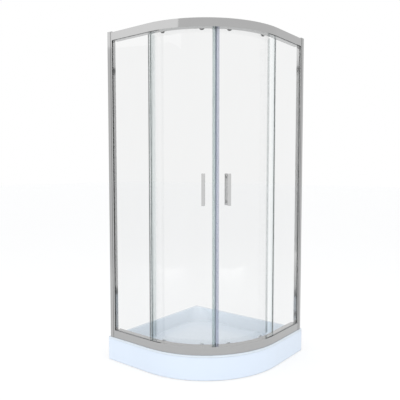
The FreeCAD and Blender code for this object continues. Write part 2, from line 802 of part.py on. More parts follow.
def side_post():
    """Hollow post that slides in the wall profile and holds the fixed glass in a groove."""
    body = new_body("post_section")
    wall = POST_WALL
    outline = side_loop(
        (POST_BACK, POST_OUT), (d.post_run, POST_OUT), (d.post_run, d.rail_wall),
        (GROOVE_RUN, d.rail_wall), (GROOVE_RUN, POCKET_IN), (d.post_run, POCKET_IN),
        (d.post_run, POST_IN), (POST_BACK, POST_IN))
    rear_cell = side_box(POST_BACK + wall, GROOVE_RUN - wall, POST_OUT + wall, POST_IN - wall)
    front_cell = side_box(GROOVE_RUN, d.post_run - wall, POCKET_IN + wall, POST_IN - wall)
    pad(body, [outline, rear_cell, front_cell], RIM_Z, TOP_Z)
    holes = [rod(f"post_hole_{number}", SCREW_RADIUS + FIT, 4, at_run(d.post_run) - 3,
                 at_depth(SCREW_DEPTH), z, (1, 0, 0))
             for number, z in enumerate(screw_heights())]
    return cut("side_post_left", body, holes)


def post_cap():
    """Push-in cap over the wall profile and the post."""
    body = new_body("cap")
    pad(body, [side_box(d.wall_gap, d.post_run + CAP_OVER, PROFILE_OUT, PROFILE_IN)],
        TOP_Z, TOP_Z + d.cap_height)
    wall = POST_WALL + FIT
    pad(body, [side_box(POST_BACK + wall, GROOVE_RUN - wall, POST_OUT + wall, POST_IN - wall)],
        TOP_Z - CAP_PLUG, TOP_Z)
    return body


CORNER_RUN = d.tray_side - d.corner_radius
FIXED_EDGE = CORNER_RUN + d.fixed_glass_lap
FIXED_LOW = RIM_Z + d.rail_height - d.glass_entry
FIXED_HIGH = TOP_Z - d.rail_height + d.glass_entry
GROOVE_GAP = 1.5  # glass edge to the bottom of the post's groove


def fixed_glass():
    body = new_body("fixed_glass_left")
    pad(body, [side_box(GROOVE_RUN + GROOVE_GAP, FIXED_EDGE, PANE_OUT, PANE_OUT + d.glass)],
        FIXED_LOW, FIXED_HIGH)
    return body


GASKET_END = 0.5  # gasket to the post
GASKET_SIDE = 0.05
GASKET_RECESS = 0.6  # gasket's edge below the rail's


def glazing_gaskets():
    """U strips round the glass's lower and upper edges, in the rails' pockets."""
    items = []
    run = (d.post_run + GASKET_END, CORNER_RUN)
    outer = (d.rail_wall + GASKET_SIDE, POCKET_IN - GASKET_SIDE)
    slot = (PANE_OUT - GASKET_SIDE, PANE_OUT + d.glass + GASKET_SIDE)
    spans = (
        ("lower", RIM_Z + d.rail_height - d.pocket_depth, RIM_Z + d.rail_height - GASKET_RECESS,
         FIXED_LOW, True),
        ("upper", TOP_Z - d.rail_height + GASKET_RECESS, TOP_Z - d.rail_height + d.pocket_depth,
         FIXED_HIGH, False),
    )
    for name, low, high, edge, below in spans:
        body = new_body(f"gasket_{name}")
        pad(body, [side_box(run[0], run[1], outer[0], outer[1])], low, high)
        slot_low, slot_high = (edge, high) if below else (low, edge)
        pocket(body, [side_box(run[0], run[1], slot[0], slot[1])], slot_low, slot_high)
        items.append(body)
    return both_sides("glazing_gaskets", group("gaskets_left", items))


SEAL_GAP = 3  # seal ends to the rails
SEAL_LOW = RIM_Z + d.rail_height + SEAL_GAP
SEAL_HIGH = TOP_Z - d.rail_height - SEAL_GAP
SEAL_SKIN = 1.2
SEAL_CLIP = 9  # how far a clip laps the glass
CLIP_GAP = 0.1
FIN_RUN = 15  # glass edge to the fixed seal's fin
FIN_THICK = 1.6


def fixed_seal():
    """Clear profile clipped on the fixed glass's free edge, with a fin towards the door."""
    body = new_body("fixed_seal_left")
    edge = FIXED_EDGE
    out = PANE_OUT - CLIP_GAP
    inn = PANE_OUT + d.glass + CLIP_GAP
    clip = edge - SEAL_CLIP
    fin = edge + FIN_RUN
    tip = d.seal_fin + 1
    root = fin - FIN_THICK
    pad(body, [side_loop(
        (clip, out - SEAL_SKIN), (fin, out - SEAL_SKIN), (fin, tip), (root, tip),
        (root, inn + SEAL_SKIN), (clip, inn + SEAL_SKIN), (clip, inn), (edge + CLIP_GAP, inn),
        (edge + CLIP_GAP, out), (clip, out)),
        side_box(edge + CLIP_GAP + SEAL_SKIN, root - SEAL_SKIN, out + CLIP_GAP, inn - CLIP_GAP)],
        SEAL_LOW, SEAL_HIGH)
    return body


CONNECTOR_RUN = 24
CONNECTOR_IN = 8  # past the post's depth


def rail_connectors():
    """Plugs inside the rail ends that the post screws bite into."""
    items = []
    low_v = d.rail_wall
    high_v = d.rail_height - d.rail_wall - d.track_lip
    for name, low, high in (("lower", RIM_Z + low_v, RIM_Z + high_v),
                            ("upper", TOP_Z - high_v, TOP_Z - low_v)):
        body = new_body(f"connector_{name}")
        pad(body, [side_box(d.post_run, d.post_run + CONNECTOR_RUN, POCKET_IN + d.rail_wall,
                            POST_IN + CONNECTOR_IN)], low, high)
        heights = [z for z in screw_heights() if low.value < z.value < high.value]
        bores = [rod(f"{name}_bore_{number}", SCREW_RADIUS + THREAD_FIT, CONNECTOR_RUN,
                     at_run(d.post_run) - PAST, at_depth(SCREW_DEPTH), z, (1, 0, 0))
                 for number, z in enumerate(heights)]
        items.append(cut(f"connector_{name}_bored", body, bores))
    return both_sides("rail_connectors", group("connectors_left", items))


SCREW_HEAD_RADIUS = 3.6
SCREW_HEAD_HIGH = 2.4
SCREW_LONG = 20


def rail_screws():
    items = []
    head_x = at_run(d.post_run) - POST_WALL
    for number, z in enumerate(screw_heights()):
        head = rod(f"screw_head_{number}", SCREW_HEAD_RADIUS, SCREW_HEAD_HIGH,
                   head_x - SCREW_HEAD_HIGH, at_depth(SCREW_DEPTH), z, (1, 0, 0))
        shank = rod(f"screw_shank_{number}", SCREW_RADIUS, SCREW_LONG, head_x - PAST,
                    at_depth(SCREW_DEPTH), z, (1, 0, 0))
        items.append(joined("Part::Fuse", f"screw_{number}", Base=head, Tool=shank))
    return both_sides("rail_screws", group("screws_left", items))


BUMPER_LONG = 18
BUMPER_V = 12  # rail's closed face to the bumper


def rail_bumpers():
    """Rubber stops in the wheel channels where the opened doors' wheels arrive."""
    items = []
    end = CORNER_RUN - d.door_stop_run
    for name, low, high in (
            ("lower", RIM_Z + BUMPER_V, RIM_Z + d.rail_height - d.rail_wall),
            ("upper", TOP_Z - d.rail_height + d.rail_wall, TOP_Z - BUMPER_V)):
        body = new_body(f"bumper_{name}")
        pad(body, [side_box(end - BUMPER_LONG, end, POCKET_IN + d.rail_wall + 1,
                            d.rail_depth - d.rail_wall - SNUG)], low, high)
        items.append(body)
    return both_sides("rail_bumpers", group("bumpers_left", items))


# Doors -----------------------------------------------------------------------------------------
WHEEL_ANGLES = [("outer", d.outer_wheel_angle), ("inner", d.inner_wheel_angle)]
UPPER_AXLE_Z = TOP_Z - AXLE_V
LOWER_AXLE_Z = RIM_Z + AXLE_V
HOUSING_Z = LOWER_AXLE_Z - d.release_travel / 2
GLASS_END = MEETING_ANGLE - d.seal_half / (GLASS_OUT - d.glass / 2) * (180 / math.pi)


HANDLE_HOLE = size(5)


def door_glass():
    body = new_body("door_pane")
    pad(body, [arc_band(GLASS_OUT, GLASS_IN, size(0), GLASS_END)], DOOR_BOTTOM, DOOR_TOP)
    on_arc(body, size(0))
    holes = []
    spots = [(angle, z, d.glass_hole) for _, angle in WHEEL_ANGLES
             for z in (UPPER_AXLE_Z, HOUSING_Z)]
    spots += [(d.handle_angle, HANDLE_Z + side * d.handle_pitch / 2, HANDLE_HOLE)
              for side in (-1, 1)]
    for number, (angle, z, radius) in enumerate(spots):
        hole = turned(f"glass_hole_{number}", stepped([(radius, GLASS_IN - 5, GLASS_OUT + 5)]))
        holes.append(on_arc(hole, angle, z))
    return cut("door_glass_left", body, holes)


def door_seal():
    """Clear edge profile: a clip on the glass and a long fin out towards the fixed pane."""
    body = new_body("door_seal_left")
    clip_out = GLASS_OUT + FIT
    clip_in = GLASS_IN - FIT
    skin = SEAL_SKIN
    tip = FACE_RADIUS - d.seal_fin
    pad(body, [[(size(x), -r) for x, r in (
        (8, clip_out), (8, clip_out + skin), (-8.4, clip_out + skin), (-8.4, tip), (-10, tip),
        (-10, clip_in - skin), (8, clip_in - skin), (8, clip_in), (-0.2, clip_in),
        (-0.2, clip_out))],
        [(size(x), -r) for x, r in (
            (-1.4, clip_out), (-8.6, clip_out), (-8.6, clip_in), (-1.4, clip_in))]],
        SEAL_LOW, SEAL_HIGH)
    return on_arc(body, size(0))


def magnet_seal():
    """Clear meeting profile: a clip on the door glass and a tube for the magnet strip."""
    body = new_body("magnet_seal_left")
    skin = 1.3
    back = size(-20)
    clip_out = GLASS_OUT + 0.05
    clip_in = GLASS_IN - bulge(-back, GLASS_IN) - 0.1
    end = -d.seal_half + FIT
    face = size(-0.2)
    tube_out = GLASS_OUT + 4
    tube_in = GLASS_IN - 4
    pad(body, [[(x, -r) for x, r in (
        (back, clip_out), (back, clip_out + skin), (end, clip_out + skin), (end, tube_out),
        (face, tube_out), (face, tube_in), (end, tube_in), (end, clip_in - skin),
        (back, clip_in - skin), (back, clip_in), (end, clip_in), (end, clip_out))],
        [(x, -r) for x, r in (
            (end + skin, tube_out - skin), (face - skin, tube_out - skin),
            (face - skin, tube_in + skin), (end + skin, tube_in + skin))]],
        DOOR_BOTTOM, DOOR_TOP)
    return on_arc(body, MEETING_ANGLE)


def magnet_strip():
    body = new_body("magnet_strip_left")
    pad(body, [rectangle(-4.8, -1.6, -(GLASS_OUT + 2.6), -(GLASS_IN - 2.6))],
        DOOR_BOTTOM + 1, DOOR_TOP - 1)
    return on_arc(body, MEETING_ANGLE)


AXLE_HEAD = WHEEL_R + d.wheel_width / 2 + FIT
AXLE_HEAD_RADIUS = size(5)
AXLE_HEAD_LONG = 1.8
BOSS_END = WHEEL_R - d.wheel_width / 2 - FIT
NECK_CLEAR = 1.9  # upper mount's neck to the rail's lip
NECK_RADIUS = d.wheel_radius - d.track_lip - NECK_CLEAR
FLANGE_RADIUS = size(17)
FLANGE_THICK_IN = 5
FACE_GAP = 0.05  # a clamped face to the glass
FLANGE_FACE = GLASS_IN - bulge(FLANGE_RADIUS, GLASS_IN) - FACE_GAP
NUT_RADIUS = size(13)
NUT_THICK = 3.8
CLAMP_END = GLASS_OUT + 2 * FACE_GAP + NUT_THICK
TREAD_EDGE = 0.8


def wheel(label, angle, z):
    low = WHEEL_R - d.wheel_width / 2
    high = WHEEL_R + d.wheel_width / 2
    bore = d.axle_radius + 0.05
    edge_r = d.wheel_radius - TREAD_EDGE
    section = [
        (bore, -low), (edge_r, -low), (d.wheel_radius, -(low + TREAD_EDGE)),
        (d.wheel_radius, -(high - TREAD_EDGE)), (edge_r, -high), (bore, -high),
    ]
    return on_arc(turned(label, section), angle, z)


def upper_mount(name, angle):
    """Flange, tube through the glass, neck and the axle with its retaining head."""
    body = turned(f"upper_mount_{name}", stepped([
        (FLANGE_RADIUS, FLANGE_FACE - FLANGE_THICK_IN, FLANGE_FACE),
        (d.glass_hole - FIT, FLANGE_FACE, CLAMP_END),
        (NECK_RADIUS, CLAMP_END, BOSS_END),
        (d.axle_radius, BOSS_END, AXLE_HEAD),
        (AXLE_HEAD_RADIUS, AXLE_HEAD, AXLE_HEAD + AXLE_HEAD_LONG),
    ]))
    return on_arc(body, angle, UPPER_AXLE_Z)


def ring_nut(name, angle, z):
    low = GLASS_OUT + FACE_GAP
    bore = d.glass_hole - FIT + THREAD_FIT
    body = turned(f"ring_nut_{name}", [
        (bore, -low), (NUT_RADIUS, -low), (NUT_RADIUS, -(low + NUT_THICK)),
        (bore, -(low + NUT_THICK)),
    ])
    return on_arc(body, angle, z)


HOUSING_THICK = 9
HOUSING_FACE = FLANGE_FACE - HOUSING_THICK
STEM_RADIUS = size(3.4)
SLOT_HALF = STEM_RADIUS + 0.2
SPRING_RADIUS = 2.4
SPRING_WALL = 0.8
SPRING_Y = -(GLASS_IN - 4.5)
SPRING_SEAT = LOWER_AXLE_Z - 14
WELL_GAP = 0.3
BUTTON_RADIUS = size(8)
BUTTON_HIGH = 6.7
BUTTON_FACE = HOUSING_FACE - 0.3


def lower_housing(name, angle):
    """Round housing clamped through the glass, slotted so that the wheel's stem can drop."""
    body = turned(f"housing_round_{name}", stepped([
        (FLANGE_RADIUS, HOUSING_FACE, FLANGE_FACE),
        (d.glass_hole - FIT, FLANGE_FACE, CLAMP_END),
    ]))
    on_arc(body, angle, HOUSING_Z)
    slot = new_body(f"housing_slot_{name}")
    pad(slot, [rectangle(-SLOT_HALF, SLOT_HALF, -(CLAMP_END + 5), -(HOUSING_FACE - 1))],
        LOWER_AXLE_Z - d.release_travel - SLOT_HALF, LOWER_AXLE_Z + SLOT_HALF)
    on_arc(slot, angle)
    well = new_body(f"spring_well_{name}")
    pad(well, [], SPRING_SEAT, LOWER_AXLE_Z, [(size(0), SPRING_Y, size(SPRING_RADIUS + WELL_GAP))])
    on_arc(well, angle)
    return cut(f"housing_{name}", body, [slot, well])


def carriage(label, angle):
    """Button, sliding stem and axle of one lower wheel."""
    body = turned(label, stepped([
        (BUTTON_RADIUS, BUTTON_FACE - BUTTON_HIGH, BUTTON_FACE),
        (STEM_RADIUS, BUTTON_FACE, BOSS_END),
        (d.axle_radius, BOSS_END, AXLE_HEAD),
        (AXLE_HEAD_RADIUS, AXLE_HEAD, AXLE_HEAD + AXLE_HEAD_LONG),
    ]))
    return on_arc(body, angle, LOWER_AXLE_Z)


def release_spring(name, angle):
    body = new_body(f"spring_{name}")
    top = LOWER_AXLE_Z - STEM_RADIUS - 0.05
    pad(body, [], SPRING_SEAT, top, [(size(0), SPRING_Y, size(SPRING_RADIUS)),
                                     (size(0), SPRING_Y, size(SPRING_RADIUS - SPRING_WALL))])
    return on_arc(body, angle)


EDGE_ROUND = 1.6
POST_RADIUS = size(6.5)
POST_EMBED = 0.5  # handle post into its bar
WASHER_RADIUS = size(8)
WASHER_BORE = size(3.2)
WASHER_THICK = 1
FOOT_GAP = 1.15  # handle post to the glass, which the washer fills
PIN_RADIUS = size(3)
PIN_REACH = 15  # pin past each glass face
BORE_DEPTH = 16


def handle(label, outside):
    """Flat bar on two round posts, outside or inside the glass."""
    body = new_body(label)
    sign = 1 if outside else -1
    glass = GLASS_OUT if outside else GLASS_IN
    back = glass + sign * d.handle_reach
    front = back + sign * d.handle_thick
    low_r, high_r = (back, front) if outside else (front, back)
    half = d.handle_width / 2
    bar = pad(body, [rectangle(-half, half, -high_r, -low_r)],
              HANDLE_Z - d.handle_length / 2, HANDLE_Z + d.handle_length / 2)
    doc.recompute()
    edges = [f"Edge{number + 1}" for number in range(len(bar.Shape.Edges))]
    rounded = body.newObject("PartDesign::Fillet", body.Name + "_edges")
    rounded.Base = (bar, edges)
    rounded.Radius = EDGE_ROUND
    body.Tip = rounded
    circles = [(size(0), HANDLE_Z + side * d.handle_pitch / 2, POST_RADIUS) for side in (-1, 1)]
    foot = glass + sign * FOOT_GAP
    sketch = new_sketch(body, "XZ_Plane", [], foot, circles)
    posts = body.newObject("PartDesign::Pad", body.Name + "_posts")
    posts.Profile = sketch
    posts.Reversed = not outside
    posts.setExpression("Length", (d.handle_reach - FOOT_GAP + POST_EMBED).text)
    on_arc(body, d.handle_angle)
    reach = (foot - PAST, foot + BORE_DEPTH) if outside else (foot - BORE_DEPTH, foot + PAST)
    bores = []
    for side in (-1, 1):
        bore = turned(f"{label}_bore_{side + 1}", stepped([(PIN_RADIUS + THREAD_FIT, *reach)]))
        bores.append(on_arc(bore, d.handle_angle, HANDLE_Z + side * d.handle_pitch / 2))
    return body, bores


def handle_fixings(name, side):
    """Threaded pin through the glass, and its two washers."""
    z = HANDLE_Z + side * d.handle_pitch / 2
    pin = turned(f"handle_pin_{name}",
                 stepped([(PIN_RADIUS, GLASS_IN - PIN_REACH, GLASS_OUT + PIN_REACH)]))
    items = [on_arc(pin, d.handle_angle, z)]
    inner_face = GLASS_IN - bulge(WASHER_RADIUS, GLASS_IN) - FACE_GAP
    for face, low in (("out", GLASS_OUT + 0.02), ("in", inner_face - WASHER_THICK)):
        high = low + WASHER_THICK
        washer = turned(f"washer_{name}_{face}", [
            (WASHER_BORE, -low), (WASHER_RADIUS, -low), (WASHER_RADIUS, -high),
            (WASHER_BORE, -high)])
        items.append(on_arc(washer, d.handle_angle, z))
    return items


def doors():
    """Left door's pieces, then the same pieces mirrored for the right door."""
    left = [door_glass(), door_seal(), magnet_seal(), magnet_strip()]
    left.append(group("upper_roller_mounts_left",
                      [upper_mount(name, angle) for name, angle in WHEEL_ANGLES]))
    left.append(group("lower_roller_housings_left",
                      [lower_housing(name, angle) for name, angle in WHEEL_ANGLES]))
    left.append(group("release_springs_left",
                      [release_spring(name, angle) for name, angle in WHEEL_ANGLES]))
    fixings = []
    for name, angle in WHEEL_ANGLES:
        fixings.append(ring_nut(f"upper_{name}", angle, UPPER_AXLE_Z))
        fixings.append(ring_nut(f"lower_{name}", angle, HOUSING_Z))
    fixings += handle_fixings("low", -1) + handle_fixings("high", 1)
    left.append(group("door_fixings_left", fixings))
    for label, outside in (("handle_outer_left", True), ("handle_inner_left", False)):
        solid, bores = handle(label + "_solid", outside)
        left.append(cut(label, solid, bores))
    for name, angle in WHEEL_ANGLES:
        left.append(wheel(f"upper_wheel_{name}_left", angle, UPPER_AXLE_Z))
        left.append(wheel(f"lower_wheel_{name}_left", angle, LOWER_AXLE_Z))
        left.append(carriage(f"wheel_carriage_{name}_left", angle))
    return left + [mirrored(item.Label.replace("_left", "_right"), item) for item in left]


def mirrored_pair(item):
    return [item, mirrored(item.Label.replace("_left", "_right"), item)]


def build():
    parts = [tray_shell(), tray_apron(), base_board(), support_bars()]
    parts += feet()
    parts.append(apron_brackets())
    parts += waste_parts()
    for item in (wall_profile(), side_post(), fixed_glass(), fixed_seal()):
        parts += mirrored_pair(item)
    parts.append(both_sides("post_caps", post_cap()))
    parts.append(glazing_gaskets())
    parts.append(rail("top_rail", TOP_Z, False))
    parts.append(rail("bottom_rail", RIM_Z, True))
    parts += [pocket_infills(), rail_connectors(), rail_screws(), rail_bumpers()]
    parts += doors()
    return parts


def write(parts):
    """Checks every object, then writes each sub-part to its own file."""
    doc.recompute()
    for item in doc.Objects:
        if "Invalid" in item.State or "Error" in item.State:
            raise RuntimeError(f"{item.Label} failed: {item.State}")
    for item in parts:
        if item.Shape.isNull() or not item.Shape.isValid():
            raise RuntimeError(f"{item.Label} has no valid shape")
    os.makedirs("parts", exist_ok=True)
    for item in parts:
        item.Shape.exportStep(f"parts/{item.Label}.step")
    print(len(parts), "nodes")


write(build())
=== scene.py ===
"""Looks of the quadrant shower enclosure: materials, release springs, studio and camera."""

import json
import math

import bmesh
import bpy
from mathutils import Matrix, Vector


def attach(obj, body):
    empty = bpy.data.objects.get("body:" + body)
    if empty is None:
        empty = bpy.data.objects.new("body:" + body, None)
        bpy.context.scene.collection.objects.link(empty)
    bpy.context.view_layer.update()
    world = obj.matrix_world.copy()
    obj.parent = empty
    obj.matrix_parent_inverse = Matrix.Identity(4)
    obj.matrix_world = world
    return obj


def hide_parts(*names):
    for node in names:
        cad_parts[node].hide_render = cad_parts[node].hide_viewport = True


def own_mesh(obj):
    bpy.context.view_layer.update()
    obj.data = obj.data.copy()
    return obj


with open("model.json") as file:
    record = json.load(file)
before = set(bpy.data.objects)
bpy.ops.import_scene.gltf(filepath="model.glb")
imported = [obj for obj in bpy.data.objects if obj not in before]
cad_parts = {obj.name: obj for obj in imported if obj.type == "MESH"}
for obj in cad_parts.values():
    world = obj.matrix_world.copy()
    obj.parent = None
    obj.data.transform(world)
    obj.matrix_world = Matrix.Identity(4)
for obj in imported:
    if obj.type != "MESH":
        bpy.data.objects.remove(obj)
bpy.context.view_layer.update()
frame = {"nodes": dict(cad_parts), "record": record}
SLOTS = {part["node"]: part["material_slot"] for part in frame["record"]["subparts"]}
FRONT_CENTRE = (-0.100, 0.100)  # plan centre of the rounded front


# Node helpers --------------------------------------------------------------------------------
class Tree:
    """Short calls for building one node tree."""

    def __init__(self, owner):
        owner.use_nodes = True
        self.tree = owner.node_tree
        self.tree.nodes.clear()

    def new(self, kind, **settings):
        node = self.tree.nodes.new(kind)
        for name, value in settings.items():
            setattr(node, name, value)
        return node

    def put(self, value, socket):
        """Link an output to the socket, or set a plain value on it."""
        if isinstance(value, bpy.types.NodeSocket):
            self.tree.links.new(value, socket)
        else:
            socket.default_value = value

    def feed(self, node, *values):
        """Put the values on the node's first inputs, and give its first output."""
        for value, socket in zip(values, node.inputs):
            self.put(value, socket)
        return node.outputs[0]

    def math(self, operation, *values, clamp=False):
        return self.feed(self.new("ShaderNodeMath", operation=operation, use_clamp=clamp), *values)

    def vector(self, operation, *values):
        return self.feed(self.new("ShaderNodeVectorMath", operation=operation), *values)

    def dot(self, one, other):
        node = self.new("ShaderNodeVectorMath", operation="DOT_PRODUCT")
        self.feed(node, one, other)
        return node.outputs["Value"]

    def length(self, value):
        node = self.new("ShaderNodeVectorMath", operation="LENGTH")
        self.feed(node, value)
        return node.outputs["Value"]

    def step(self, value, low, high, to_low=0.0, to_high=1.0, smooth=True):
        """Run from one value to another while the input goes from low to high."""
        node = self.new("ShaderNodeMapRange")
        node.interpolation_type = "SMOOTHSTEP" if smooth else "LINEAR"
        return self.feed(node, value, low, high, to_low, to_high)

    def mix(self, share, one, other):
        node = self.new("ShaderNodeMix", data_type="RGBA")
        self.put(share, node.inputs["Factor"])
        self.put(one, node.inputs["A"])
        self.put(other, node.inputs["B"])
        return node.outputs["Result"]

    def blend(self, share, one, other):
        """Shader that goes from one to the other as the share rises."""
        return self.feed(self.new("ShaderNodeMixShader"), share, one, other)

    def place(self, stretch=(1, 1, 1)):
        """Object coordinates, in metres, stretched."""
        where = self.new("ShaderNodeTexCoord").outputs["Object"]
        mapping = self.new("ShaderNodeMapping")
        mapping.inputs["Scale"].default_value = stretch
        return self.feed(mapping, where)

    def from_front_centre(self):
        """Level vector from the rounded front's centre to the shaded point."""
        return self.vector("MULTIPLY", self.vector("SUBTRACT", self.place(), (*FRONT_CENTRE, 0)),
                           (1, 1, 0))

    def slant(self):
        """0 where the surface faces the ray, towards 1 where it is seen edge on."""
        return self.new("ShaderNodeLayerWeight").outputs["Facing"]

    def noise(self, scale, detail=2.0, rough=0.5, stretch=(1, 1, 1)):
        node = self.new("ShaderNodeTexNoise")
        node.inputs["Scale"].default_value = scale
        node.inputs["Detail"].default_value = detail
        node.inputs["Roughness"].default_value = rough
        self.put(self.place(stretch), node.inputs["Vector"])
        return node.outputs["Fac"]

    def bump(self, height, distance, strength=1.0, rounded=None):
        """Relief, on edges that look rounded to the given radius."""
        node = self.new("ShaderNodeBump")
        if rounded:
            edge = self.new("ShaderNodeBevel", samples=4)
            edge.inputs["Radius"].default_value = rounded
            self.put(edge.outputs[0], node.inputs["Normal"])
        node.inputs["Strength"].default_value = strength
        node.inputs["Distance"].default_value = distance
        self.put(height, node.inputs["Height"])
        return node.outputs["Normal"]

    def principled(self, colour, rough, normal=None, **sockets):
        node = self.new("ShaderNodeBsdfPrincipled")
        self.put(colour, node.inputs["Base Color"])
        self.put(rough, node.inputs["Roughness"])
        if normal is not None:
            self.put(normal, node.inputs["Normal"])
        for name, value in sockets.items():
            node.inputs[name.replace("_", " ")].default_value = value
        return node.outputs[0]

    def finish(self, shader, target="ShaderNodeOutputMaterial"):
        self.put(shader, self.new(target).inputs["Surface"])


def new_material(name):
    material = bpy.data.materials.new(name)
    return material, Tree(material)


def rgb(red, green, blue):
    """Linear colour from screen values of 0 to 255."""
    def line(value):
        value /= 255
        return value / 12.92 if value <= 0.04045 else ((value + 0.055) / 1.055) ** 2.4
    return (line(red), line(green), line(blue), 1.0)


def shade(colour, share):
    return (colour[0] * share, colour[1] * share, colour[2] * share, 1.0)


# Materials -------------------------------------------------------------------------------------
SHELL_WHITE = rgb(229, 238, 247)
APRON_WHITE = rgb(228, 239, 253)
CHROME = rgb(176, 176, 176)
BRIGHT_CHROME = rgb(202, 202, 202)
DRAWN_UPRIGHT = (1.0, 1.0, 0.02)  # stretch of the texture along a post or a handle
DRAWN_LEVEL = (0.15, 0.15, 4.0)  # along a rail
UNDRAWN = (1, 1, 1)  # turned or cast, with no direction
GLASS = (0.945, 0.947, 0.947, 1.0)
GLASS_GLINT = 0.04  # share that a pane's face mirrors when seen square on
GLINT_POWER = 5.0  # how steeply that share rises towards edge on
BROAD_FACING = 0.86  # a face that points this nearly across the pane is its broad face
EDGE_FACING = 0.70  # at this or less it is wholly a cut edge
EDGE_GREEN = rgb(172, 190, 187)
EDGE_COVER = 0.1  # how much of the green body covers a cut edge
LIP_COVER = 0.58  # how much of the grey body, painted shade, covers a door seal's lip
LIP_BLEND = 0.002  # metres over which that cover sets in


def moulded(name, colour, rough, swing, grain, depth, blotch=6.0, vary=0.03, **sockets):
    """Moulded or cast surface: a fine texture, soft blotches of gloss and a faint colour drift.

    grain and blotch are texture scales per metre, depth the grain's relief in metres, swing and
    vary how far the roughness and the colour go either way.
    """
    material, tree = new_material(name)
    cloud = tree.noise(blotch, detail=3.0)
    tint = tree.mix(cloud, shade(colour, 1 - vary), shade(colour, 1 + vary))
    gloss = tree.step(cloud, 0.3, 0.7, rough - swing, rough + swing, smooth=False)
    normal = tree.bump(tree.noise(grain, detail=4.0, rough=0.6), depth)
    tree.finish(tree.principled(tint, gloss, normal, **sockets))
    return material


def acrylic(name, colour):
    """Glossy vacuum-formed acrylic: faint long waves from forming, and fine wiping marks."""
    material, tree = new_material(name)
    cloud = tree.noise(3.0)
    tint = tree.mix(cloud, shade(colour, 0.985), shade(colour, 1.01))
    marks = tree.noise(42.0, detail=5.0, rough=0.65, stretch=(1.0, 3.2, 1.6))
    gloss = tree.step(marks, 0.35, 0.75, to_low=0.14, to_high=0.26, smooth=False)
    waves = tree.noise(11.0, detail=1.0)
    normal = tree.bump(waves, distance=0.0022, strength=0.35, rounded=0.005)
    tree.finish(tree.principled(tint, gloss, normal, Coat_Weight=0.35, Coat_Roughness=0.06))
    return material


def chrome(name, colour, rough, lines, drawn=DRAWN_UPRIGHT, rounded=0.0012):
    """Bright plated or polished aluminium: drawn lines along the section, smears and haze.

    lines is their texture scale per metre, rounded the radius that edges seem to have.
    """
    material, tree = new_material(name)
    streak = tree.noise(lines, detail=3.0, rough=0.6, stretch=drawn)
    haze = tree.noise(14.0, detail=4.0, rough=0.6)
    brushed = tree.step(streak, 0.3, 0.7, rough * 0.6, rough * 1.3, smooth=False)
    smeared = tree.step(haze, 0.45, 0.75, to_low=0.0, to_high=rough * 0.7, smooth=False)
    gloss = tree.math("ADD", brushed, smeared)
    tint = tree.mix(haze, shade(colour, 0.97), shade(colour, 1.02))
    normal = tree.bump(streak, distance=0.00004, strength=0.5, rounded=rounded)
    tree.finish(tree.principled(tint, gloss, normal, Metallic=1.0))
    return material


def pane(name, across=None):
    """Clear glass: its broad faces let the room through, its cut edges show green depth.

    across is the way a flat pane faces; a curved one faces away from the front's centre.
    """
    material, tree = new_material(name)
    across = across or tree.vector("NORMALIZE", tree.from_front_centre())
    normal = tree.new("ShaderNodeNewGeometry").outputs["True Normal"]
    cut_share = tree.step(tree.math("ABSOLUTE", tree.dot(normal, across)), BROAD_FACING, EDGE_FACING)
    smear = tree.noise(9.0, detail=4.0, rough=0.6, stretch=(1, 1, 0.4))
    drift = tree.mix(smear, shade(GLASS, 0.994), shade(GLASS, 1.004))
    clear = tree.feed(tree.new("ShaderNodeBsdfTransparent"), drift)
    shine = tree.new("ShaderNodeBsdfGlossy")
    shine.inputs["Color"].default_value = (1, 1, 1, 1)
    gloss = tree.step(smear, 0.4, 0.8, to_low=0.0, to_high=0.05, smooth=False)
    tree.put(gloss, shine.inputs["Roughness"])
    mirrored = tree.math("MULTIPLY_ADD", tree.math("POWER", tree.slant(), GLINT_POWER),
                         1 - GLASS_GLINT, GLASS_GLINT)
    broad = tree.blend(mirrored, clear, shine.outputs[0])
    depth = tree.noise(30.0, detail=3.0, stretch=(1, 1, 0.05))
    green = tree.mix(depth, shade(EDGE_GREEN, 0.85), shade(EDGE_GREEN, 1.15))
    cut_edge = tree.principled(green, 0.2, Alpha=EDGE_COVER, IOR=1.5)
    tree.finish(tree.blend(cut_share, broad, cut_edge))
    return material


def clear_plastic(name, tint, body, share, edge_share, rough, lip=None):
    """Extruded clear PVC: see-through walls covered by a grey of painted shade that grows where they
    are seen edge on.

    share and edge_share are how much of the grey body, which is painted shade, covers the wall,
    square on and edge on.
    Past the lip radius round the front's centre, the profile is its soft grey lip, in the same
    painted shade.
    """
    material, tree = new_material(name)
    lines = tree.noise(160.0, stretch=(1, 1, 0.01))
    cloud = tree.noise(12.0, detail=3.0, stretch=(1, 1, 0.3))
    clear = tree.feed(tree.new("ShaderNodeBsdfTransparent"), tint)
    normal = tree.bump(lines, distance=0.0002, strength=0.6)
    # painted shade: the body grey darkens the clear wall, more where it is seen edge on
    painted_grey = tree.mix(cloud, shade(body, 0.95), shade(body, 1.04))
    gloss = tree.step(lines, 0.3, 0.7, rough * 0.7, rough * 1.3)
    solid = tree.principled(painted_grey, gloss, normal)
    covered = tree.step(tree.slant(), 0.25, 0.95, share, edge_share)
    if lip:
        reach = tree.length(tree.from_front_centre())
        covered = tree.math("MAXIMUM", covered,
                            tree.step(reach, lip, lip + LIP_BLEND, 0.0, LIP_COVER))
    patchy = tree.math("MULTIPLY", covered, tree.step(cloud, 0.3, 0.7, 0.9, 1.1))
    tree.finish(tree.blend(patchy, clear, solid))
    return material


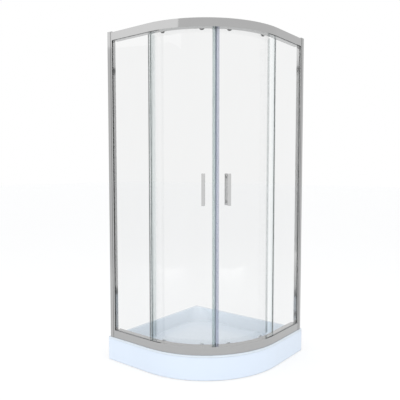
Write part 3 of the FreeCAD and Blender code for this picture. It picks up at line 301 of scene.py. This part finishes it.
LOOKS = {
    "tray_acrylic": acrylic("tray_acrylic", SHELL_WHITE),
    "apron_acrylic": acrylic("apron_acrylic", APRON_WHITE),
    "board": moulded("board", rgb(196, 170, 132), rough=0.75, swing=0.08, grain=260.0,
                     depth=0.0008, blotch=14.0, vary=0.12),
    "zinc_steel": moulded("zinc_steel", rgb(190, 192, 196), rough=0.38, swing=0.1, grain=90.0,
                          depth=0.0001, blotch=40.0, vary=0.1, Metallic=1.0),
    "black_plastic": moulded("black_plastic", rgb(34, 34, 36), rough=0.5, swing=0.08, grain=900.0,
                             depth=0.0002, blotch=30.0, vary=0.1),
    "trap_plastic": moulded("trap_plastic", rgb(228, 229, 228), rough=0.36, swing=0.06,
                            grain=700.0, depth=0.0002),
    "waste_chrome": chrome("waste_chrome", CHROME, rough=0.06, lines=50.0, drawn=UNDRAWN),
    "profile_chrome": chrome("profile_chrome", CHROME, rough=0.07, lines=260.0),
    "rail_chrome": chrome("rail_chrome", CHROME, rough=0.07, lines=220.0, drawn=DRAWN_LEVEL),
    "handle_chrome": chrome("handle_chrome", BRIGHT_CHROME, rough=0.05, lines=300.0,
                            rounded=0.004),
    "magnet": moulded("magnet", rgb(156, 166, 180), rough=0.5, swing=0.06, grain=500.0,
                      depth=0.0002, blotch=20.0, vary=0.06),
    "gasket_rubber": moulded("gasket_rubber", rgb(150, 152, 154), rough=0.55, swing=0.08,
                             grain=600.0, depth=0.0003),
    "roller_metal": chrome("roller_metal", BRIGHT_CHROME, rough=0.14, lines=120.0, drawn=UNDRAWN),
    "roller_plastic": moulded("roller_plastic", rgb(238, 243, 247), rough=0.35, swing=0.06,
                              grain=600.0, depth=0.0002),
    "wheel_nylon": moulded("wheel_nylon", rgb(232, 232, 228), rough=0.4, swing=0.06, grain=500.0,
                           depth=0.0002),
}
# Each seal's grey body is painted shade: the same clear PVC is a darker grey on the left seals than
# on the right.
SEALS = {
    "door_seal_left": clear_plastic(
        "door_seal_left", tint=(0.985, 0.990, 0.991, 1), body=rgb(128, 132, 134),
        share=0.01, edge_share=0.10, rough=0.25, lip=0.517),
    "door_seal_right": clear_plastic(
        "door_seal_right", tint=(0.980, 0.987, 0.988, 1), body=rgb(150, 154, 156),
        share=0.02, edge_share=0.40, rough=0.25, lip=0.521),
    "fixed_seal_left": clear_plastic(
        "fixed_seal_left", tint=(0.975, 0.985, 0.985, 1), body=rgb(104, 114, 114),
        share=0.10, edge_share=0.95, rough=0.25),
    "fixed_seal_right": clear_plastic(
        "fixed_seal_right", tint=(0.985, 0.990, 0.990, 1), body=rgb(204, 210, 210),
        share=0.01, edge_share=0.20, rough=0.25),
    "magnet_seal_left": clear_plastic(
        "magnet_seal_left", tint=(0.945, 0.964, 0.964, 1), body=rgb(188, 200, 201),
        share=0.14, edge_share=0.45, rough=0.3),
    "magnet_seal_right": clear_plastic(
        "magnet_seal_right", tint=(0.935, 0.942, 0.966, 1), body=rgb(200, 203, 218),
        share=0.14, edge_share=0.45, rough=0.3),
}
PANES = {
    "fixed_glass_left": pane("fixed_glass_left", (0, 1, 0)),
    "fixed_glass_right": pane("fixed_glass_right", (1, 0, 0)),
}
PANES["door_glass_left"] = PANES["door_glass_right"] = pane("door_glass")


def dress():
    """Give each node of the frame its material."""
    for name, node in frame["nodes"].items():
        material = PANES.get(name) or SEALS.get(name) or LOOKS[SLOTS[name]]
        for slot in node.material_slots:
            slot.material = material


# Release springs: round-wire coils in the lower roller housings, moving with their door
# --------------
SPRING_FOOT = 0.1698  # height, in metres as below
SPRING_HEAD = 0.18035
SPRING_REACH = 0.4765  # from the front's centre
OUTER_ANGLE = 7.0  # degrees round the front's centre, from the straight side
INNER_ANGLE = 35.5
COIL_RADIUS = 0.0020
WIRE_RADIUS = 0.0004
COIL_TURNS = 5
TURN_STEPS = 20
WIRE_SIDES = 8


def spring_seat(side, angle):
    """Plan place of a spring; the right door mirrors the left one."""
    across = FRONT_CENTRE[0] + SPRING_REACH * math.sin(math.radians(angle))
    along = FRONT_CENTRE[1] - SPRING_REACH * math.cos(math.radians(angle))
    return (across, along) if side == "left" else (-along, -across)


def wire_rings(shape, seat):
    """Rings of points round a wire that climbs in turns above its seat."""
    steps = COIL_TURNS * TURN_STEPS
    rise = SPRING_HEAD - SPRING_FOOT - 2 * WIRE_RADIUS
    rings = []
    for number in range(steps + 1):
        turn = 2 * math.pi * number / TURN_STEPS
        outward = Vector((math.cos(turn), math.sin(turn), 0))
        height = SPRING_FOOT + WIRE_RADIUS + rise * number / steps
        middle = Vector((*seat, height)) + outward * COIL_RADIUS
        ring = []
        for side in range(WIRE_SIDES):
            angle = 2 * math.pi * side / WIRE_SIDES
            offset = outward * math.cos(angle) + Vector((0, 0, math.sin(angle)))
            ring.append(shape.verts.new(middle + offset * WIRE_RADIUS))
        rings.append(ring)
    return rings


def coil(name, side, angle):
    """One round-wire spring, wound upwards from its seat in the lower roller housing."""
    seat = spring_seat(side, angle)
    shape = bmesh.new()
    rings = wire_rings(shape, seat)
    for lower, upper in zip(rings, rings[1:]):
        for near in range(WIRE_SIDES):
            far = (near + 1) % WIRE_SIDES
            shape.faces.new((lower[near], lower[far], upper[far], upper[near]))
    shape.faces.new(rings[0])
    shape.faces.new(reversed(rings[-1]))
    bmesh.ops.recalc_face_normals(shape, faces=shape.faces)
    for face in shape.faces:
        face.smooth = True
    mesh = bpy.data.meshes.new(name)
    shape.to_mesh(mesh)
    shape.free()
    spring = bpy.data.objects.new(name, mesh)
    bpy.context.scene.collection.objects.link(spring)
    node = f"release_springs_{side}"
    slot = SLOTS[node]
    mesh.materials.append(LOOKS[slot])
    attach(spring, f"door_{side}")
    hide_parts(node)
    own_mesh(spring)


# Studio ----------------------------------------------------------------------------------------
FILL = 0.90  # brightness of the room where it lights the object
FILL_COLOUR = (0.97, 0.985, 1.0, 1)
FLOOR_GREY = 0.40  # share of the light falling on it that the floor sends back
FLOOR_GLOW = 0.61  # what brings it up to white for the rays that show the background
FLOOR_DROP = 0.0005  # metres below the feet
FLOOR_REACH = 30.0  # metres from its middle to its edge


def background_rays(tree):
    """1 for rays that show the background: straight to the camera, through glass or off metal."""
    path = tree.new("ShaderNodeLightPath")
    seen = tree.math("ADD", path.outputs["Is Camera Ray"], path.outputs["Is Glossy Ray"])
    return tree.math("ADD", seen, path.outputs["Is Transmission Ray"], clamp=True)


def studio():
    """Plain white room, which also gives a soft fill light."""
    world = bpy.data.worlds.new("studio")
    bpy.context.scene.world = world
    tree = Tree(world)
    white = tree.feed(tree.new("ShaderNodeBackground"), (1, 1, 1, 1), 1.0)
    fill = tree.feed(tree.new("ShaderNodeBackground"), FILL_COLOUR, FILL)
    tree.finish(tree.blend(background_rays(tree), fill, white), "ShaderNodeOutputWorld")


def soft_light(name, place, target, width, height, power, mirrored=True):
    """Soft box; one that isn't mirrored leaves no image of itself in the glass and the metal."""
    data = bpy.data.lights.new(name, "AREA")
    data.shape = "RECTANGLE"
    data.size = width
    data.size_y = height
    data.energy = power
    lamp = bpy.data.objects.new(name, data)
    bpy.context.scene.collection.objects.link(lamp)
    lamp.location = place
    lamp.rotation_euler = (Vector(target) - Vector(place)).to_track_quat("-Z", "Y").to_euler()
    lamp.visible_camera = False
    lamp.visible_glossy = mirrored


def floor():
    """Pale floor that keeps the shadow and runs out into the white room."""
    mesh = bpy.data.meshes.new("floor")
    shape = bmesh.new()
    bmesh.ops.create_grid(shape, x_segments=2, y_segments=2, size=FLOOR_REACH)
    shape.to_mesh(mesh)
    shape.free()
    ground = bpy.data.objects.new("floor", mesh)
    bpy.context.scene.collection.objects.link(ground)
    ground.location = (0, 0, -FLOOR_DROP)
    material, tree = new_material("floor")
    grey = (FLOOR_GREY, FLOOR_GREY, FLOOR_GREY, 1)
    tint = tree.mix(tree.noise(0.8), shade(grey, 0.9875), shade(grey, 1.0125))
    plain = tree.principled(tint, 0.9, Specular_IOR_Level=0.1)
    glow = tree.feed(tree.new("ShaderNodeEmission"), (1, 1, 1, 1),
                     tree.math("MULTIPLY", background_rays(tree), FLOOR_GLOW))
    tree.finish(tree.feed(tree.new("ShaderNodeAddShader"), plain, glow))
    mesh.materials.append(material)


# Camera: the photograph's view, 3.2 m away and a little above the middle -----------------------
AZIMUTH = math.radians(38.13)
ELEVATION = math.radians(3.697)
DISTANCE = 3.1777
AIM_RIGHT = -0.04912  # where it looks, in metres from the middle of the tray's underside
AIM_UP = 1.0183
LENS_PX = 493.21  # focal length in the photograph's pixels
PHOTO_WIDTH = 400
SENSOR_WIDTH = 36.0  # mm
FAR_LIMIT = 100.0  # metres, beyond the floor's edge


def camera():
    right = Vector((math.cos(AZIMUTH), math.sin(AZIMUTH), 0))
    back = Vector((math.sin(AZIMUTH) * math.cos(ELEVATION),
                   -math.cos(AZIMUTH) * math.cos(ELEVATION), math.sin(ELEVATION)))
    data = bpy.data.cameras.new("camera")
    data.sensor_width = SENSOR_WIDTH
    data.lens = LENS_PX * SENSOR_WIDTH / PHOTO_WIDTH
    data.clip_end = FAR_LIMIT
    view = bpy.data.objects.new("camera", data)
    bpy.context.scene.collection.objects.link(view)
    view.location = right * AIM_RIGHT + Vector((0, 0, AIM_UP)) + back * DISTANCE
    view.rotation_euler = (-back).to_track_quat("-Z", "Y").to_euler()
    bpy.context.scene.camera = view


dress()
for door in ("left", "right"):
    coil(f"spring_outer_{door}", door, OUTER_ANGLE)
    coil(f"spring_inner_{door}", door, INNER_ANGLE)
studio()
soft_light("low_front", place=(-0.9, -3.3, 0.42), target=(0, 0, 0.1),
           width=2.6, height=0.5, power=29.0, mirrored=False)
soft_light("low_side", place=(3.3, -0.9, 0.42), target=(0, 0, 0.1),
           width=2.6, height=0.5, power=32.0, mirrored=False)
soft_light("high_left", place=(-1.5, -3.4, 3.45), target=(-0.2, -0.2, 2.0),
           width=4.0, height=1.3, power=7.0)
soft_light("top", place=(0.1, -0.1, 4.4), target=(0, 0, 0), width=3.0, height=3.0, power=24.0)
floor()
camera()
bpy.context.scene.view_settings.view_transform = "Standard"
